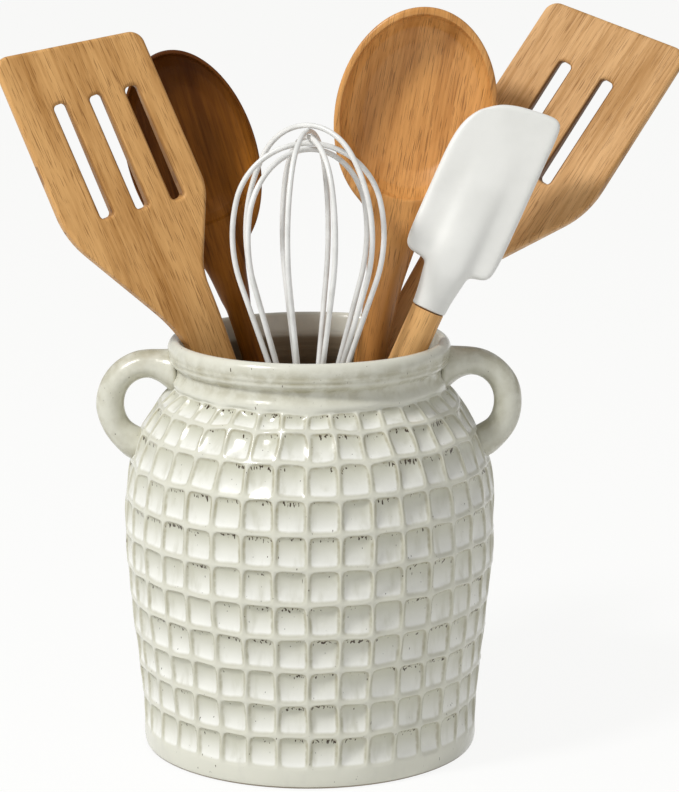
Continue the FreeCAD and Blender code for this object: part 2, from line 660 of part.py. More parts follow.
light_sizes = {
    "bowl_width": LIGHT_BOWL_WIDTH, "bowl_length": LIGHT_BOWL_LENGTH,
    "bowl_depth": LIGHT_BOWL_DEPTH, "dish_depth": LIGHT_DISH_DEPTH,
    "handle_length": light_handle_length, "foot_diameter": LIGHT_FOOT_DIAMETER,
    "neck_diameter": LIGHT_NECK_DIAMETER, "heel_length": LIGHT_HEEL_LENGTH,
    "heel_diameter": LIGHT_HEEL_DIAMETER, "heel_lap": LIGHT_HEEL_LAP}
dark_sizes = {
    "bowl_width": DARK_BOWL_WIDTH, "bowl_length": DARK_BOWL_LENGTH,
    "bowl_depth": DARK_BOWL_DEPTH, "dish_depth": DARK_DISH_DEPTH,
    "handle_length": dark_handle_length, "foot_diameter": DARK_FOOT_DIAMETER,
    "neck_diameter": DARK_NECK_DIAMETER, "heel_length": DARK_HEEL_LENGTH,
    "heel_diameter": DARK_HEEL_DIAMETER, "heel_lap": DARK_HEEL_LAP}
parts["light_spoon"] = stand(
    [spoon(light_sizes)], LIGHT_FOOT_SHARES, LIGHT_MOUTH_SHARES, LIGHT_TWIST)[0]
parts["dark_spoon"] = stand(
    [spoon(dark_sizes)], DARK_FOOT_SHARES, DARK_MOUTH_SHARES, DARK_TWIST)[0]

whisk = [whisk_handle(), whisk_plug()] + [whisk_wire(number) for number in range(WIRE_COUNT)]
whisk = stand(whisk, WHISK_FOOT_SHARES, WHISK_MOUTH_SHARES, WHISK_TWIST)
parts["whisk_handle"] = whisk[0]
parts["whisk_plug"] = whisk[1]
for number in range(WIRE_COUNT):
    parts["whisk_wire_%d" % (number + 1)] = whisk[2 + number]

spatula = stand(
    [spatula_handle(), spatula_head()],
    SPATULA_FOOT_SHARES, SPATULA_MOUTH_SHARES, SPATULA_TWIST)
parts["spatula_handle"] = spatula[0]
parts["spatula_head"] = spatula[1]

for name, shape in parts.items():
    solid = shape.Solids[0]
    print(name, len(shape.Solids), shape.isValid(), round(solid.Volume), len(solid.Faces))
    solid.exportStep("parts/%s.step" % name)
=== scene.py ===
import bmesh
import bpy
import json
import math
from mathutils import Matrix, Vector, noise
from mathutils.geometry import interpolate_bezier


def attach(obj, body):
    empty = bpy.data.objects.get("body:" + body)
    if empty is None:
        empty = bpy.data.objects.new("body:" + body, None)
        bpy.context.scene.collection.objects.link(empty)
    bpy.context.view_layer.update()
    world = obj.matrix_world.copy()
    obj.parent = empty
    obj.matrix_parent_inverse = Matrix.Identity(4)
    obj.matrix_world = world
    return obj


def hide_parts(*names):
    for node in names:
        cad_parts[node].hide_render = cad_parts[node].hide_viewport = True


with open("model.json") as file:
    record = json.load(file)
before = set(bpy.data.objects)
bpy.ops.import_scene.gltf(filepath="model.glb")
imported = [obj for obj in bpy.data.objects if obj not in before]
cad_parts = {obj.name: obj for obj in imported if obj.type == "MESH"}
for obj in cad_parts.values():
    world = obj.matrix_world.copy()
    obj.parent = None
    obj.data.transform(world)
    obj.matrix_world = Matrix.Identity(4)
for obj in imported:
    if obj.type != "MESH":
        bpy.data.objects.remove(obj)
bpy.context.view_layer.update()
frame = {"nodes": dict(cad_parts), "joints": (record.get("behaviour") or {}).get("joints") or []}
nodes = frame["nodes"]
axes = {joint["child"]: Vector(joint["axis"]) for joint in frame["joints"]}

# Crock body: a thrown stoneware jar. Square dimples are pressed round its wall while the clay is
# soft. An ivory glaze pools pale in each dimple and thins to olive on the slopes, and the inside
# and the edge of the foot are bare clay. Painted shade darkens the top of each dimple, the groove
# under the rim and the neck's cove, and the dark bare foot ring also stands for painted contact
# shadow.
WALL_FOOT = Vector((0.0703, 0, 0.0035))
BELLY = Vector((0.0774, 0, 0.097))
COLLAR = Vector((0.0564, 0, 0.1534))
FOOT_HANDLE = Vector((0, 0, 0.035))
BELLY_HANDLE = Vector((0, 0, 0.028))
COLLAR_HANDLE = Vector((0.013, 0, -0.0124))
WALL_POINTS = 40
COLUMNS = 36
FULL_ROWS = 10
CELL_STEPS = 3
FIRST_ROW = 0.0046
ROW_PITCH = 0.0143
TOP_ROW = 0.1463
ROW_LINE_NEAR = 0.0005
ROW_LINE_RIDGE = 0.3
LAND_HALF = 0.0002
SLOPE_RUN = 0.0015
DIMPLE_DEPTH = 0.0012
DEPTH_SPREAD = 0.4
DEPTH_SCALE = 130
DIMPLE_FOOT = 0.65
DIMPLE_FALL = 1.1
DIMPLE_TURN = 0.75
DIMPLE_SAG = 0.0006
DIMPLE_LIFT = 0.0006
HAND_SEED = 7
HAND_WOBBLE = 0.0007
HAND_SCALE = 90
SHOULDER_WOBBLE = 1.1
# The bare clay ring at the foot is dark, and stands also for painted contact shadow where the foot meets
# the floor.
FOOT_BARE_AND_SHADE = 0.0009
MOUTH_BARE = 0.166
OUTSIDE_RADIUS = 0.055
# Olive bands at set heights (height, half width, share): thin glaze on the rim's steps and roll, and also
# painted shade in the groove under the rim (0.1620) and over the neck's cove (0.1594).
GROOVES = (
    (0.1620, 0.0016, 0.9), (0.1594, 0.0042, 0.55), (0.1650, 0.0009, 0.7), (0.1670, 0.0009, 0.6),
    (0.1672, 0.0055, 0.52))


def along(points, distance):
    """Point at a distance along a run of points."""
    for start, end in zip(points, points[1:]):
        step = (end - start).length
        if distance <= step:
            return start.lerp(end, distance / step)
        distance -= step
    return points[-1].copy()


def ring_points(pairs):
    return [Vector((radius, 0, height)) for radius, height in pairs]


def corners(faces):
    """Each corner of some faces once."""
    return list(dict.fromkeys(vert for face in faces for vert in face.verts))


def height_shares(verts):
    """Each corner with its share of the height from the lowest to the highest."""
    low = min(vert.co.z for vert in verts)
    high = max(vert.co.z for vert in verts)
    return [(vert, (vert.co.z - low) / (high - low)) for vert in verts]


def finish_piece(name, bm, levels):
    """The bmesh as a smooth object at the origin, with its subdivision."""
    mesh = bpy.data.meshes.new(name)
    bm.to_mesh(mesh)
    bm.free()
    mesh.shade_smooth()
    piece = bpy.data.objects.new(name, mesh)
    bpy.context.scene.collection.objects.link(piece)
    if levels:
        smooth = piece.modifiers.new("smooth", "SUBSURF")
        smooth.levels = levels
        smooth.render_levels = levels
    return piece


lower_wall = interpolate_bezier(
    WALL_FOOT, WALL_FOOT + FOOT_HANDLE, BELLY - FOOT_HANDLE, BELLY, WALL_POINTS)
upper_wall = interpolate_bezier(
    BELLY, BELLY + BELLY_HANDLE, COLLAR + COLLAR_HANDLE, COLLAR, WALL_POINTS)
wall = lower_wall + upper_wall[1:]
wall_length = sum((end - start).length for start, end in zip(wall, wall[1:]))
row_starts = [FIRST_ROW + row * ROW_PITCH for row in range(FULL_ROWS)] + [TOP_ROW, wall_length]
wall_rings = []
for low, high in zip(row_starts, row_starts[1:]):
    wall_rings += [along(wall, low + (high - low) * step / CELL_STEPS) for step in range(CELL_STEPS)]
wall_rings.append(wall[-1])
row_lines = wall_rings[::CELL_STEPS]
foot_points = ring_points([
    (0, 0), (0.05, 0), (0.066, 0), (0.0691, 0.0002), (0.0698, FOOT_BARE_AND_SHADE), (0.0703, 0.0035)])
neck_points = ring_points([
    (0.0572, 0.1546), (0.0567, 0.1562), (0.0554, 0.1579), (0.0552, 0.1601), (0.0553, 0.1617)])
rim_points = ring_points([
    (0.0572, 0.1626), (0.0581, 0.1642), (0.0577, 0.1650), (0.0586, 0.1662), (0.0582, 0.1670),
    (0.0588, 0.1686), (0.0586, 0.1705), (0.0576, 0.1723), (0.0560, 0.1733), (0.0544, 0.1728),
    (0.0535, 0.1711), (0.0522, 0.1660)])
inside_points = ring_points([
    (0.0515, 0.1610), (0.0515, 0.1535), (0.0590, 0.1430), (0.0655, 0.1315), (0.0706, 0.1150),
    (0.0724, 0.0970), (0.0700, 0.0550), (0.0662, 0.0200), (0.0640, 0.0115), (0.0605, 0.0080),
    (0.0555, 0.0070), (0.0300, 0.0070), (0, 0.0070)])
outline = foot_points + wall_rings + neck_points + rim_points + inside_points

bm = bmesh.new()
outline_verts = [bm.verts.new((0, -point.x, point.z)) for point in outline]
outline_edges = [bm.edges.new(pair) for pair in zip(outline_verts, outline_verts[1:])]
bmesh.ops.spin(
    bm, geom=outline_verts + outline_edges, cent=(0, 0, 0), axis=(0, 0, 1),
    angle=math.tau, steps=COLUMNS * CELL_STEPS, use_merge=True)
bmesh.ops.remove_doubles(bm, verts=bm.verts, dist=0.00001)
bmesh.ops.recalc_face_normals(bm, faces=bm.faces)
cells = {}
for face in bm.faces:
    middle = face.calc_center_median()
    outward = Vector((middle.x, middle.y, 0)).normalized()
    if row_lines[0].z < middle.z < COLLAR.z and face.normal.dot(outward) > 0:
        row = sum(middle.z > line.z for line in row_lines)
        turn = math.atan2(middle.y, middle.x) / math.tau + 0.25
        cells.setdefault((row, math.floor(turn * COLUMNS)), []).append(face)
    elif middle.z < FOOT_BARE_AND_SHADE or face.normal.dot(outward) < -0.3 and middle.z < MOUTH_BARE:
        face.material_index = 1
wall_faces = [face for faces in cells.values() for face in faces]
side_mask = bm.verts.layers.float.new("side_ridge")
noise.seed_set(HAND_SEED)
for vert in corners(wall_faces):
    nearest = min(row_lines, key=lambda line: abs(vert.co.z - line.z))
    if abs(vert.co.z - nearest.z) > ROW_LINE_NEAR:
        vert[side_mask] = 1
    elif nearest in row_lines[1:-1]:
        vert[side_mask] = ROW_LINE_RIDGE
    above_belly = max(0, vert.co.z - BELLY.z) / (COLLAR.z - BELLY.z)
    wobble = HAND_WOBBLE * (1 + SHOULDER_WOBBLE * above_belly)
    vert.co += noise.noise_vector(vert.co * HAND_SCALE) * wobble
floor_mask = bm.verts.layers.float.new("dimple_floor")
ledge_mask = bm.verts.layers.float.new("dimple_ledge")
for faces in cells.values():
    middle = sum((face.calc_center_median() for face in faces), Vector()) / len(faces)
    outward = sum((face.normal for face in faces), Vector()).normalized()
    depth = DIMPLE_DEPTH * (1 + DEPTH_SPREAD * noise.noise(middle * DEPTH_SCALE))
    bmesh.ops.inset_region(bm, faces=faces, thickness=LAND_HALF, use_even_offset=True)
    for vert, share in height_shares(corners(faces)):
        vert[ledge_mask] = share
    bmesh.ops.inset_region(bm, faces=faces, thickness=SLOPE_RUN, use_even_offset=True)
    for vert, share in height_shares(corners(faces)):
        vert[floor_mask] = 1
        vert[ledge_mask] = share
        sunk = depth * (DIMPLE_FOOT + share * (DIMPLE_FALL - DIMPLE_TURN * share))
        if all(face in faces for face in vert.link_faces):
            sunk += DIMPLE_SAG
        vert.co -= outward * sunk
        vert.co.z += DIMPLE_LIFT
# The bands: thin glaze, and painted shade in the groove under the rim and the neck's cove.
thin_and_shade_mask = bm.verts.layers.float.new("thin_glaze_and_shade")
for vert in bm.verts:
    if vert.co.xy.length > OUTSIDE_RADIUS:
        shares = [share * (1 - abs(vert.co.z - height) / half) for height, half, share in GROOVES]
        vert[thin_and_shade_mask] = max(0, *shares)
crock = finish_piece("crock", bm, 1)


def feed(tree, node, inputs):
    """Links each input of a node to a socket, or sets it to a value."""
    for key, value in inputs.items():
        if isinstance(value, bpy.types.NodeSocket):
            tree.links.new(value, node.inputs[key])
        else:
            node.inputs[key].default_value = value


def add_node(tree, kind, inputs=None, **settings):
    node = tree.nodes.new(kind)
    for key, value in settings.items():
        setattr(node, key, value)
    feed(tree, node, inputs or {})
    return node


def object_place(tree):
    return add_node(tree, "ShaderNodeTexCoord").outputs["Object"]


def math_node(tree, operation, first, second=0.0, clamp=False):
    inputs = {0: first, 1: second}
    return add_node(tree, "ShaderNodeMath", inputs, operation=operation, use_clamp=clamp).outputs[0]


def times(tree, first, second):
    return math_node(tree, "MULTIPLY", first, second)


def plus(tree, first, second):
    return math_node(tree, "ADD", first, second)


def step_node(tree, value, low, high):
    """0 at low and 1 at high, with a soft step between."""
    inputs = {"Value": value, "From Min": low, "From Max": high}
    return add_node(tree, "ShaderNodeMapRange", inputs, interpolation_type="SMOOTHSTEP").outputs[0]


def mix_colour(tree, share, first, second):
    inputs = {0: share, 6: first, 7: second}
    return add_node(tree, "ShaderNodeMix", inputs, data_type="RGBA").outputs[2]


def noise_node(tree, vector, scale, detail):
    inputs = {"Vector": vector, "Scale": scale, "Detail": detail, "Roughness": 0.55}
    return add_node(tree, "ShaderNodeTexNoise", inputs).outputs[0]


def stretched(tree, vector, scale):
    return add_node(tree, "ShaderNodeMapping", {"Vector": vector, "Scale": scale}).outputs[0]


def new_group(name, inputs, outputs):
    """A shader node group with named sockets, its input node and its output node."""
    group = bpy.data.node_groups.new(name, "ShaderNodeTree")
    for way, sockets in (("INPUT", inputs), ("OUTPUT", outputs)):
        for socket, kind in sockets.items():
            group.interface.new_socket(socket, in_out=way, socket_type="NodeSocket" + kind)
    return group, group.nodes.new("NodeGroupInput"), group.nodes.new("NodeGroupOutput")


def new_material(name):
    """A material with its tree and its Principled shader."""
    material = bpy.data.materials.new(name)
    material.use_nodes = True
    return material, material.node_tree, material.node_tree.nodes["Principled BSDF"]


def bump_normal(tree, shader, height, distance, strength):
    inputs = {"Height": height, "Distance": distance, "Strength": strength}
    feed(tree, shader, {"Normal": add_node(tree, "ShaderNodeBump", inputs).outputs[0]})


GLAZE_LAND = (0.70, 0.695, 0.60, 1)
GLAZE_RIDGE = (0.60, 0.59, 0.48, 1)
GLAZE_POOL = (0.87, 0.87, 0.815, 1)
# GLAZE_PAINTED_SHADE is painted shade: the colour of the top of each dimple's floor, shaded by the ledge
# above.
GLAZE_PAINTED_SHADE = (0.52, 0.515, 0.40, 1)
# GLAZE_THIN_AND_SHADE is the olive of thin glaze, and also painted shade where the masks carry shade.
GLAZE_THIN_AND_SHADE = (0.40, 0.375, 0.26, 1)
GLAZE_GREY = (0.66, 0.655, 0.57, 1)
IRON_SPECK = (0.06, 0.04, 0.022, 1)

tree, glaze_in, glaze_out = new_group(
    "ivory glaze", {"Floor": "Float", "Ledge": "Float", "Side": "Float", "Thin And Shade": "Float"},
    {"Color": "Color", "Roughness": "Float", "Height": "Float"})
glaze_group = tree
floor_share = glaze_in.outputs["Floor"]
ledge_share = glaze_in.outputs["Ledge"]
side_share = glaze_in.outputs["Side"]
place = object_place(tree)
mottle = noise_node(tree, place, 55, 3)
fine = noise_node(tree, place, 420, 3)
drips = noise_node(tree, stretched(tree, place, (1, 1, 0.38)), 1050, 1)
streaks = noise_node(tree, stretched(tree, place, (1, 1, 0.3)), 170, 3)
patch = step_node(tree, noise_node(tree, place, 48, 1), 0.38, 0.62)
uneven = plus(tree, step_node(tree, noise_node(tree, place, 150, 4), 0.36, 0.66), 0.4)

slope_share = times(tree, floor_share, math_node(tree, "SUBTRACT", 1.0, floor_share))
slope_share = times(tree, slope_share, 4)
# The top slope of each dimple is painted olive: thin glaze at the ledge, and painted shade under the
# overhanging ledge. The side slopes are thin glaze.
ledge_line = times(tree, slope_share, math_node(tree, "POWER", ledge_share, 3))
side_wear = plus(tree, times(tree, patch, 0.5), 0.4)
side_line = times(tree, slope_share, times(tree, side_share, side_wear))
slope_thin_and_shade = plus(tree, times(tree, ledge_line, 0.95), side_line)
slope_thin_and_shade = times(tree, slope_thin_and_shade, step_node(tree, fine, 0.15, 0.75))
thin_and_shade_share = math_node(tree, "ADD", slope_thin_and_shade, times(tree, uneven, glaze_in.outputs["Thin And Shade"]), clamp=True)
# Painted shade: each dimple's floor is painted darker towards its top, where the ledge above shades it.
painted_shade_share = times(tree, floor_share, math_node(tree, "POWER", ledge_share, 0.9))
speck_band = times(
    tree, step_node(tree, ledge_share, 0.74, 0.92), step_node(tree, floor_share, 0.3, 0.7))
speck_chance = times(tree, times(tree, speck_band, plus(tree, patch, 0.25)), 0.17)
speck_share = step_node(tree, plus(tree, drips, speck_chance), 0.755, 0.80)

colour = mix_colour(tree, side_share, GLAZE_LAND, GLAZE_RIDGE)
colour = mix_colour(tree, step_node(tree, floor_share, 0.35, 0.95), colour, GLAZE_POOL)
colour = mix_colour(tree, step_node(tree, streaks, 0.48, 0.8), colour, GLAZE_GREY)
colour = mix_colour(tree, times(tree, painted_shade_share, 0.95), colour, GLAZE_PAINTED_SHADE)
colour = mix_colour(tree, thin_and_shade_share, colour, GLAZE_THIN_AND_SHADE)
colour = mix_colour(tree, speck_share, colour, IRON_SPECK)
feed(tree, glaze_out, {
    "Color": colour,
    "Roughness": plus(tree, times(tree, thin_and_shade_share, 0.12), 0.2),
    "Height": plus(tree, mottle, times(tree, fine, 0.12))})


def glaze_material(name, masks):
    """Ivory glaze with its masks read from the mesh."""
    material, tree, shader = new_material(name)
    glaze = add_node(tree, "ShaderNodeGroup", node_tree=glaze_group)
    for socket, attribute in masks.items():
        mask = add_node(tree, "ShaderNodeAttribute", attribute_name=attribute)
        feed(tree, glaze, {socket: mask.outputs["Fac"]})
    feed(tree, shader, {"Base Color": glaze.outputs["Color"], "Roughness": glaze.outputs["Roughness"]})
    bump_normal(tree, shader, glaze.outputs["Height"], 0.0012, 0.4)
    return material


crock_masks = {
    "Floor": "dimple_floor", "Ledge": "dimple_ledge", "Side": "side_ridge", "Thin And Shade": "thin_glaze_and_shade"}
crock.data.materials.append(glaze_material("crock_glaze", crock_masks))
CLAY_BROWN = (0.17, 0.13, 0.08, 1)
CLAY_GREY = (0.33, 0.28, 0.20, 1)
GLAZE_FADES = (0.1625, 0.1650)
inside_material, tree, shader = new_material("crock_inside")
place = object_place(tree)
rings = noise_node(tree, stretched(tree, place, (0.2, 0.2, 3)), 120, 2)
height = add_node(tree, "ShaderNodeSeparateXYZ", {0: place}).outputs[2]
clay = mix_colour(tree, rings, CLAY_BROWN, CLAY_GREY)
clay = mix_colour(tree, step_node(tree, height, *GLAZE_FADES), clay, GLAZE_GREY)
feed(tree, shader, {"Base Color": clay, "Roughness": 0.4})
bump_normal(tree, shader, rings, 0.001, 0.4)
crock.data.materials.append(inside_material)
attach(crock, "crock")
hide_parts("crock_body")

# Ear handles: pulled oval bars of the same clay, pressed on to the neck and the shoulder while
# wet and smoothed out at both ends, then glazed with the body.
EAR_HEIGHT = 0.1618
EAR_ROOT = 0.0535
EAR_RUN_END = 0.0663
EAR_BEND = 0.0167
EAR_SIDES = 12
EAR_HALF_THICK = 0.0060
EAR_HALF_DEEP = 0.0066
EAR_DROP_BEND = 0.0195
EAR_DROP_ANGLE = math.radians(46)
EAR_SINK = 0.015
EAR_FLARES = ((1.9, 0.0042), (1.5, 0.0027), (1.14, 0.0007), (1.06, 0), (1.45, -0.003))
EAR_HAND_SCALE = 60
EAR_END_THIN = 0.55
EAR_FACE_THIN = 0.22
EAR_EDGE_THIN = 0.45
RIGHT_EAR_RAISED = 0.0012


def picked(items, kind):
    return [item for item in items if isinstance(item, kind)]


def open_edges(verts):
    """Each edge at some corners once."""
    return list(dict.fromkeys(edge for vert in verts for edge in vert.link_edges))


def middle_of(verts):
    return sum((vert.co for vert in verts), Vector()) / len(verts)


def pull_ring(bm, edges):
    """A new ring pulled from a ring of edges: its corners, its edges and the faces between."""
    made = bmesh.ops.extrude_edge_only(bm, edges=edges)["geom"]
    verts = picked(made, bmesh.types.BMVert)
    ring = [edge for edge in picked(made, bmesh.types.BMEdge) if all(vert in verts for vert in edge.verts)]
    return verts, ring, picked(made, bmesh.types.BMFace)


def ear(name, node, side, raised):
    bm = bmesh.new()
    ring = bmesh.ops.create_circle(bm, segments=EAR_SIDES, radius=1)["verts"]
    bmesh.ops.scale(bm, vec=(EAR_HALF_THICK, EAR_HALF_DEEP, 1), verts=ring)
    bmesh.ops.rotate(bm, matrix=Matrix.Rotation(math.radians(90), 3, "Y"), verts=ring)
    bmesh.ops.translate(bm, vec=(EAR_ROOT, 0, EAR_HEIGHT), verts=ring)
    root_rings = [ring]
    ring_edges = open_edges(ring)
    for step in range(3):
        ring, ring_edges, between = pull_ring(bm, ring_edges)
        bmesh.ops.translate(bm, vec=((EAR_RUN_END - EAR_ROOT) / 3, 0, 0), verts=ring)
        root_rings.append(ring)
    bends = (
        (EAR_RUN_END, math.radians(90), 6),
        (EAR_RUN_END + EAR_BEND - EAR_DROP_BEND, EAR_DROP_ANGLE, 4))
    for across, angle, steps in bends:
        centre = (across, 0, EAR_HEIGHT - EAR_BEND)
        made = bmesh.ops.spin(
            bm, geom=ring + ring_edges, cent=centre, axis=(0, 1, 0), angle=angle, steps=steps)["geom_last"]
        ring = picked(made, bmesh.types.BMVert)
        ring_edges = picked(made, bmesh.types.BMEdge)
    last_ring, last_edges, between = pull_ring(bm, ring_edges)
    inward = Vector((-math.sin(EAR_DROP_ANGLE), 0, -math.cos(EAR_DROP_ANGLE)))
    bmesh.ops.translate(bm, vec=inward * EAR_SINK, verts=last_ring)
    for (spread, sag), verts in zip(EAR_FLARES, root_rings[:3] + [ring, last_ring]):
        bmesh.ops.scale(bm, vec=(spread,) * 3, space=Matrix.Translation(-middle_of(verts)), verts=verts)
        bmesh.ops.translate(bm, vec=(0, 0, -sag), verts=verts)
    for vert in bm.verts:
        vert.co += noise.noise_vector(vert.co * EAR_HAND_SCALE + Vector((side, 0, 0))) * HAND_WOBBLE
    if side < 0:
        bmesh.ops.rotate(bm, matrix=Matrix.Rotation(math.pi, 3, "Z"), verts=bm.verts)
    bmesh.ops.translate(bm, vec=(0, 0, raised), verts=bm.verts)
    thin_and_shade_mask = bm.verts.layers.float.new("thin_glaze_and_shade")
    for vert in bm.verts:
        from_loop = math.hypot(abs(vert.co.x) - EAR_RUN_END, vert.co.z - EAR_HEIGHT + EAR_BEND)
        edge = min(1, abs(from_loop - EAR_BEND) / EAR_HALF_THICK)
        vert[thin_and_shade_mask] = EAR_FACE_THIN + EAR_EDGE_THIN * edge ** 3
        if vert in root_rings[0] or vert in last_ring:
            vert[thin_and_shade_mask] = EAR_END_THIN
    bmesh.ops.holes_fill(bm, edges=bm.edges)
    bmesh.ops.recalc_face_normals(bm, faces=bm.faces)
    piece = finish_piece(name, bm, 2)
    piece.data.materials.append(ear_glaze)
    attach(piece, "crock")
    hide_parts(node)


ear_glaze = glaze_material("ear_glaze", {"Thin And Shade": "thin_glaze_and_shade"})
ear("left_ear", "left_handle", -1, 0)
ear("right_ear", "right_handle", 1, RIGHT_EAR_RAISED)

# Turners: two flat turners sawn from pale beech, steamed back at the neck, their slots routed,
# then oiled. Their solids are the real shape, so they get the wood, with its grain along each
# one, and painted shade on the walls of their slots.
tree, grain_in, grain_out = new_group(
    "wood grain",
    {"Vector": "Vector", "Light": "Color", "Dark": "Color", "Fleck": "Color", "Flecks": "Float",
     "Stain And Shade Start": "Float", "Stain And Shade End": "Float", "Stain And Shade Share": "Float"},
    {"Color": "Color", "Roughness": "Float", "Height": "Float"})
grain_group = tree
place = grain_in.outputs["Vector"]
dark_wood = grain_in.outputs["Dark"]
height = add_node(tree, "ShaderNodeSeparateXYZ", {0: place}).outputs[2]
bands = noise_node(tree, stretched(tree, place, (1, 0.4, 0.1)), 75, 3)
fibre = noise_node(tree, stretched(tree, place, (1, 0.12, 0.04)), 900, 4)
fleck = noise_node(tree, stretched(tree, place, (1, 0.05, 0.03)), 3200, 1)
fleck_patch = noise_node(tree, stretched(tree, place, (1, 1, 0.4)), 60, 2)
# Darker over a height range: a stain, and on the spoons also painted shadow.
stain_and_shade_share = step_node(tree, height, grain_in.outputs["Stain And Shade Start"], grain_in.outputs["Stain And Shade End"])
stain_and_shade_share = times(tree, stain_and_shade_share, grain_in.outputs["Stain And Shade Share"])
tone = plus(tree, times(tree, bands, 0.75), times(tree, fibre, 0.35))
fleck_share = step_node(tree, plus(tree, fleck, times(tree, fleck_patch, 0.12)), 0.655, 0.72)
fleck_share = times(tree, fleck_share, grain_in.outputs["Flecks"])
colour = mix_colour(tree, stain_and_shade_share, grain_in.outputs["Light"], dark_wood)
colour = mix_colour(tree, step_node(tree, tone, 0.38, 0.72), colour, dark_wood)
feed(tree, grain_out, {
    "Color": mix_colour(tree, fleck_share, colour, grain_in.outputs["Fleck"]),
    "Roughness": plus(tree, times(tree, fibre, 0.2), 0.36),
    "Height": math_node(tree, "SUBTRACT", times(tree, fibre, 0.5), fleck_share)})

FOOT_NEAR = 0.0003
NO_STAIN_OR_SHADE = (0, 1, 0)


def standing(node, body, twist):
    """Where a utensil stands: its foot's middle, and its turn from upright along its lift axis."""
    axis = axes[body]
    heights = [(axis.dot(vert.co), vert.co) for vert in nodes[node].data.vertices]
    lowest = min(height for height, place in heights)
    foot = [place for height, place in heights if height < lowest + FOOT_NEAR]
    middle = sum(foot, Vector()) / len(foot)
    turn = Vector((0, 0, 1)).rotation_difference(axis).to_matrix().to_4x4()
    return Matrix.Translation(middle) @ turn @ Matrix.Rotation(math.radians(twist), 4, "Z")


def wood_material(name, stand, light, dark, fleck_colour, flecks, polish=0, stain_and_shade=NO_STAIN_OR_SHADE):
    """Oiled wood with its grain along the utensil that stands there, darker over a given height: a stain,
    and on the spoons painted shadow as well.
    """
    material, tree, shader = new_material(name)
    inputs = {"Vector": object_place(tree), "Location": stand.translation, "Rotation": stand.to_euler()}
    local = add_node(tree, "ShaderNodeMapping", inputs, vector_type="TEXTURE").outputs[0]
    start, end, share = stain_and_shade
    inputs = {
        "Vector": local, "Light": light, "Dark": dark, "Fleck": fleck_colour, "Flecks": flecks,
        "Stain And Shade Start": start, "Stain And Shade End": end, "Stain And Shade Share": share}
    grain = add_node(tree, "ShaderNodeGroup", inputs, node_tree=grain_group)
    feed(tree, shader, {
        "Base Color": grain.outputs["Color"], "Roughness": grain.outputs["Roughness"],
        "Specular IOR Level": 0.15, "Coat Weight": polish, "Coat Roughness": 0.33})
    bump_normal(tree, shader, grain.outputs["Height"], 0.0003, 0.35)
    return material


def dress(node, material):
    nodes[node].data.materials.clear()
    nodes[node].data.materials.append(material)


BEECH_LIGHT = (0.66, 0.37, 0.138, 1)
BEECH_DARK = (0.40, 0.19, 0.052, 1)
BEECH_FLECK = (0.17, 0.065, 0.014, 1)
PALE_BEECH_LIGHT = (0.72, 0.43, 0.195, 1)
PALE_BEECH_DARK = (0.435, 0.222, 0.072, 1)
# Painted shade: the walls of the turners' slots are painted dark brown, where they lie in shade.
SLOT_PAINTED_SHADE = (0.13, 0.05, 0.012, 1)
SLOT_FOOT_BELOW_END = 0.078
SLOT_FADE = 0.001
THREE_SLOT_TWIST = 24
THREE_SLOT_ROW = {"middle": -0.0055, "half": 0.0195, "shade": 0.45}
TWO_SLOT_TWIST = -24
TWO_SLOT_ROW = {"middle": 0.0107, "half": 0.0135, "shade": 0.85}

tree, slot_in, slot_out = new_group(
    "painted slot shade",
    {"Color": "Color", "Across": "Vector", "Axis": "Vector", "Row Middle": "Float",
     "Row Half": "Float", "Slot Foot": "Float", "Shade": "Float"},
    {"Color": "Color"})
slot_shade_group = tree
place = object_place(tree)
facing = add_node(tree, "ShaderNodeNewGeometry").outputs["Normal"]
reaches = []
for vector, way in ((place, "Across"), (place, "Axis"), (facing, "Across")):
    inputs = {0: vector, 1: slot_in.outputs[way]}
    dot = add_node(tree, "ShaderNodeVectorMath", inputs, operation="DOT_PRODUCT")
    reaches.append(dot.outputs["Value"])
aside, height, turned = reaches
row_half = slot_in.outputs["Row Half"]
slot_foot = slot_in.outputs["Slot Foot"]
aside = math_node(tree, "ABSOLUTE", math_node(tree, "SUBTRACT", aside, slot_in.outputs["Row Middle"]))
in_row = step_node(tree, aside, plus(tree, row_half, SLOT_FADE), row_half)
above_foot = step_node(tree, height, slot_foot, plus(tree, slot_foot, SLOT_FADE))
turned = step_node(tree, math_node(tree, "ABSOLUTE", turned), 0.35, 0.8)
# Painted shade on the slot walls.
slot_shade_share = times(tree, times(tree, times(tree, in_row, above_foot), turned), slot_in.outputs["Shade"])
feed(tree, slot_out, {"Color": mix_colour(tree, slot_shade_share, slot_in.outputs["Color"], SLOT_PAINTED_SHADE)})


def length_along(node, body):
    heights = [axes[body].dot(vert.co) for vert in nodes[node].data.vertices]
    return max(heights) - min(heights)


def paint_slot_shade(material, node, stand, row):
    """Paints shade on the walls of a turner's row of slots, the faces that look across it."""
    tree = material.node_tree
    shader = tree.nodes["Principled BSDF"]
    foot = stand.translation
    across = stand.to_3x3().col[0]
    axis = axes[node]
    inputs = {
        "Color": shader.inputs["Base Color"].links[0].from_socket, "Across": across, "Axis": axis,
        "Row Middle": foot.dot(across) + row["middle"], "Row Half": row["half"],
        "Slot Foot": foot.dot(axis) + length_along(node, node) - SLOT_FOOT_BELOW_END,
        "Shade": row["shade"]}
    slot_shade = add_node(tree, "ShaderNodeGroup", inputs, node_tree=slot_shade_group)
    feed(tree, shader, {"Base Color": slot_shade.outputs["Color"]})


